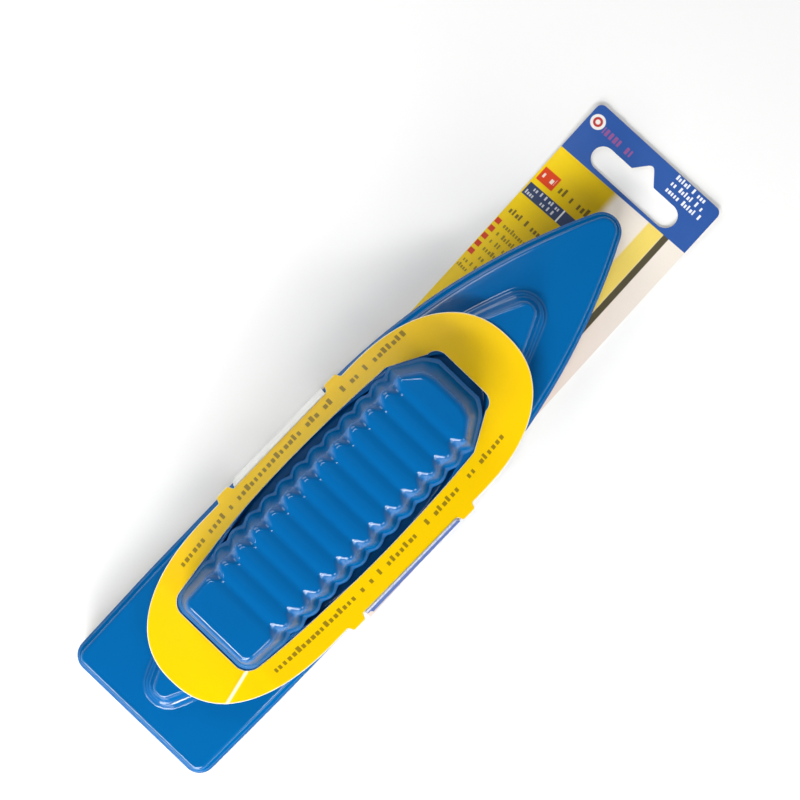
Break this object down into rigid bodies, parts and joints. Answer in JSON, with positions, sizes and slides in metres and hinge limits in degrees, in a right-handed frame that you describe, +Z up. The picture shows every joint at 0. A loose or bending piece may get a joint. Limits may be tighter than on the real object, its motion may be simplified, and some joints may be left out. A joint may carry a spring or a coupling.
{
  "type": "paint pad edger",
  "caption": "Flat iron-shaped painting pad with a ribbed hand grip, held on a creased hanging card by an oval front ring.",
  "frame": {"origin": "centre of the whole object's footprint, on the surface that the back card lies on", "axes": "+Y along the pad towards its pointed nose and the card's header, +Z up through the grip, +X to the right"},
  "size_m": [0.0696, 0.2728, 0.045],
  "materials": {
    "shell_plastic": "high-gloss blue moulded plastic",
    "carrier_board": "uncoated grey-brown board",
    "adhesive_film": "pale double-sided film",
    "foam": "open-cell off-white foam",
    "nap_fabric": "short dense cream pile",
    "printed_back_card": "gloss-coated printed card, blue header over yellow and beige",
    "printed_side_card": "gloss-coated slate blue card",
    "printed_ring_card": "gloss-coated yellow card",
    "plain_card": "uncoated white card"
  },
  "bodies": {
    "tool_and_card": {"top_shell": "shell_plastic", "grip": "shell_plastic", "base_board": "carrier_board", "adhesive_sheet": "adhesive_film", "foam_pad": "foam", "nap_face": "nap_fabric", "back_card": "printed_back_card", "side_panel_right": "printed_side_card", "glue_flap": "plain_card"},
    "ring": {"front_ring": "printed_ring_card"},
    "left_panel": {"side_panel_left": "printed_side_card"}
  },
  "joints": [
    {"name": "ring_crease", "type": "hinge", "parent": "tool_and_card", "child": "ring", "pos_m": [0.0301, -0.02992, 0.02353], "axis": [0, 1, 0], "range_deg": [0, 175]},
    {"name": "left_panel_crease", "type": "hinge", "parent": "ring", "child": "left_panel", "pos_m": [-0.0323, -0.02992, 0.02353], "axis": [0, 1, 0], "range_deg": [0, 88]}
  ]
}
